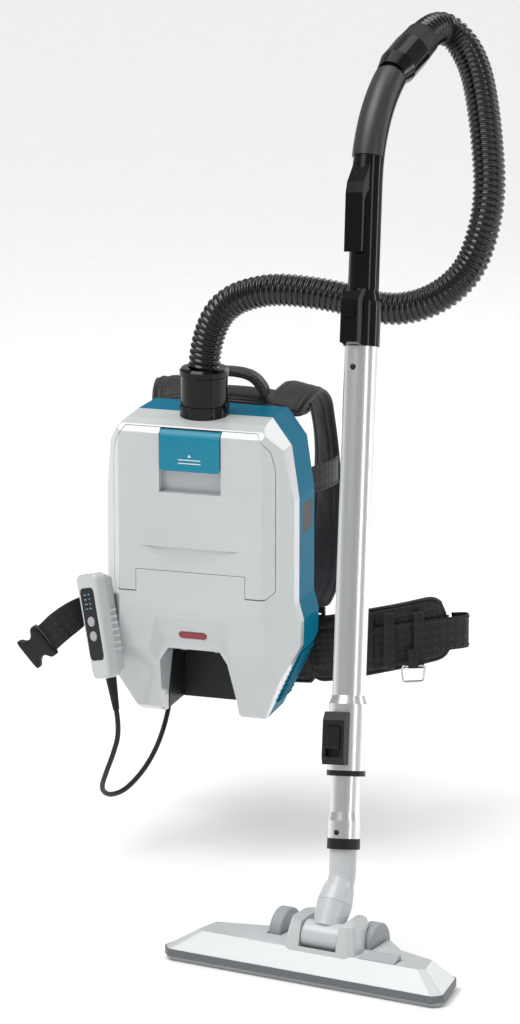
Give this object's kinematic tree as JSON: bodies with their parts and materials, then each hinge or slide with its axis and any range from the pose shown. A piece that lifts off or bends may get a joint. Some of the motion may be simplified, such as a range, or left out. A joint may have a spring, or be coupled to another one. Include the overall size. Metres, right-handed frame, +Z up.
{
  "type": "backpack vacuum cleaner",
  "caption": "Cordless vacuum cleaner worn on the back, with a hinged bag lid, harness, wired remote, swivelling hose, telescopic wand and wheeled floor head.",
  "frame": {"origin": "centre of the back pad face that lies against the wearer", "axes": "+X to the right seen from the lid side, -Y out of the lid, +Z up"},
  "size_m": [0.6387, 0.6486, 0.9811],
  "materials": {
    "housing_white": "glossy moulded ABS",
    "housing_teal": "satin moulded ABS",
    "latch_teal": "satin moulded ABS",
    "black_gloss": "gloss moulded plastic",
    "black_satin": "satin moulded plastic",
    "grey_grip": "satin soft-touch overmould",
    "rubber_black": "matt",
    "hose_black": "smoked ribbed hose",
    "cord_black": "satin PVC",
    "tube_aluminium": "brushed and anodised",
    "steel": "satin",
    "chrome": "polished wire",
    "webbing": "woven polyester webbing",
    "pad_fabric": "spacer mesh and satin nylon",
    "bag_paper": "non-woven fleece",
    "filter": "pleated fibre in a frame",
    "copper_board": "circuit board",
    "head_white": "gloss ABS",
    "head_grey": "satin ABS",
    "wheel_grey": "satin elastomer",
    "pedal_grey": "satin ABS",
    "elbow_clear": "translucent milky plastic",
    "sole_clear": "translucent plastic",
    "panel_dark": "smoked label with lamps",
    "brush": "nylon bristle"
  },
  "bodies": {
    "pack": {"rear_housing": "housing_teal", "front_housing": "housing_white", "back_plate": "black_satin", "back_pad": "pad_fabric", "inlet_collar": "black_gloss", "dust_bag": "bag_paper", "hepa_filter": "filter", "motor_housing": "black_satin", "control_board": "copper_board", "battery_contacts": "pedal_grey", "housing_screws": "steel", "lid_hinge_pins": "steel", "shoulder_strap_left": "pad_fabric", "shoulder_strap_right": "pad_fabric", "waist_wing_left": "pad_fabric", "waist_wing_right": "pad_fabric", "waist_web_left": "webbing", "waist_web_right": "webbing", "buckle_socket": "black_satin", "buckle_plug": "black_satin", "belt_loops": "webbing", "grab_handle": "pad_fabric", "harness_bands": "webbing", "strap_adjusters": "black_satin", "remote_front": "head_white", "remote_back": "head_white", "remote_panel": "panel_dark", "remote_clip": "black_satin", "cord_relief": "rubber_black", "remote_cord": "cord_black", "cord_gland": "rubber_black"},
    "lid": {"front_cover": "housing_white", "latch_pin": "steel"},
    "lid_latch": {"latch": "latch_teal"},
    "motor_rotor": {"impeller": "black_satin"},
    "belt_ring": {"d_ring": "chrome"},
    "power_key": {"power_button": "pedal_grey"},
    "mode_key": {"mode_button": "pedal_grey"},
    "hose_assembly": {"hose_connector": "black_gloss", "hose": "hose_black", "hose_cuff": "rubber_black"},
    "wand": {"handle": "black_gloss", "handle_grip": "grey_grip", "outer_tube": "tube_aluminium", "slide_housing": "black_satin"},
    "wand_lock": {"wand_lock_button": "black_gloss"},
    "telescope_lock": {"telescope_button": "black_satin"},
    "wand_inner": {"inner_tube": "tube_aluminium", "inner_collar": "rubber_black", "elbow": "elbow_clear"},
    "head_neck": {"neck": "elbow_clear"},
    "floor_head": {"head_cover": "head_white", "head_base": "sole_clear", "bumper": "head_grey", "axle": "steel"},
    "left_wheel": {"wheel_left": "wheel_grey"},
    "right_wheel": {"wheel_right": "wheel_grey"},
    "head_pedal": {"pedal": "pedal_grey"},
    "brush_lift": {"brush_strip": "brush"}
  },
  "joints": [
    {"name": "lid_hinge", "type": "hinge", "parent": "pack", "child": "lid", "pos_m": [0, -0.1472, -0.0463], "axis": [1, 0, 0], "range_deg": [0, 75]},
    {"name": "latch_pivot", "type": "hinge", "parent": "lid", "child": "lid_latch", "pos_m": [0, -0.1435, 0.134], "axis": [-1, 0, 0], "range_deg": [0, 30], "stiffness_Nm_per_rad": 0.05, "springref_deg": -17.19},
    {"name": "impeller_spin", "type": "hinge", "parent": "pack", "child": "motor_rotor", "pos_m": [0, -0.088, -0.084], "axis": [0, 0, 1], "continuous": true},
    {"name": "ring_swing", "type": "hinge", "parent": "pack", "child": "belt_ring", "pos_m": [0.218, 0.017, -0.16], "axis": [0.8988, 0.4384, 0], "range_deg": [-35, 35]},
    {"name": "power_press", "type": "slide", "parent": "pack", "child": "power_key", "axis": [0.5888, 0.8083, 0], "range_m": [0, 0.0012], "stiffness_N_per_m": 300, "springref_m": -0.001},
    {"name": "mode_press", "type": "slide", "parent": "pack", "child": "mode_key", "axis": [0.5888, 0.8083, 0], "range_m": [0, 0.0012], "stiffness_N_per_m": 300, "springref_m": -0.001},
    {"name": "inlet_swivel", "type": "hinge", "parent": "pack", "child": "hose_assembly", "pos_m": [0, -0.097, 0.18], "axis": [0, 0, 1], "range_deg": [-60, 0]},
    {"name": "cuff_swivel", "type": "hinge", "parent": "hose_assembly", "child": "wand", "pos_m": [0.23674, -0.08027, 0.5747], "axis": [0.1354, 0.9309, 0.3393], "range_deg": [-35, 12]},
    {"name": "wand_lock_press", "type": "slide", "parent": "wand", "child": "wand_lock", "axis": [0.2006, 0.945, -0.2584], "range_m": [0, 0.002], "stiffness_N_per_m": 300, "springref_m": -0.001},
    {"name": "telescope_lock_slide", "type": "slide", "parent": "wand", "child": "telescope_lock", "axis": [0.0504, -0.2734, -0.9606], "range_m": [0, 0.008], "stiffness_N_per_m": 300, "springref_m": -0.003},
    {"name": "telescope_slide", "type": "slide", "parent": "wand", "child": "wand_inner", "axis": [0.0504, -0.2734, -0.9606], "range_m": [0, 0.24]},
    {"name": "neck_swivel", "type": "hinge", "parent": "wand_inner", "child": "head_neck", "pos_m": [0.2613, -0.436, -0.2997], "axis": [0.0871, 0.6226, 0.7777], "range_deg": [-60, 60]},
    {"name": "neck_tilt", "type": "hinge", "parent": "head_neck", "child": "floor_head", "pos_m": [0.25808, -0.45904, -0.32848], "axis": [0.9845, -0.1754, 0], "range_deg": [-25, 35]},
    {"name": "left_wheel_spin", "type": "hinge", "parent": "floor_head", "child": "left_wheel", "pos_m": [0.19796, -0.41255, -0.343], "axis": [0.9845, -0.1754, 0], "continuous": true},
    {"name": "right_wheel_spin", "type": "hinge", "parent": "floor_head", "child": "right_wheel", "pos_m": [0.30448, -0.43152, -0.343], "axis": [0.9845, -0.1754, 0], "continuous": true},
    {"name": "pedal_rock", "type": "hinge", "parent": "floor_head", "child": "head_pedal", "pos_m": [0.32705, -0.47363, -0.343], "axis": [0.9845, -0.1754, 0], "range_deg": [0, 7]},
    {"name": "brush_drop", "type": "slide", "parent": "floor_head", "child": "brush_lift", "axis": [0, 0, -1], "range_m": [0, 0.006]}
  ],
  "couplings": [
    {"joint": "brush_drop", "follows": "pedal_rock", "m_per_rad": 0.049111}
  ]
}
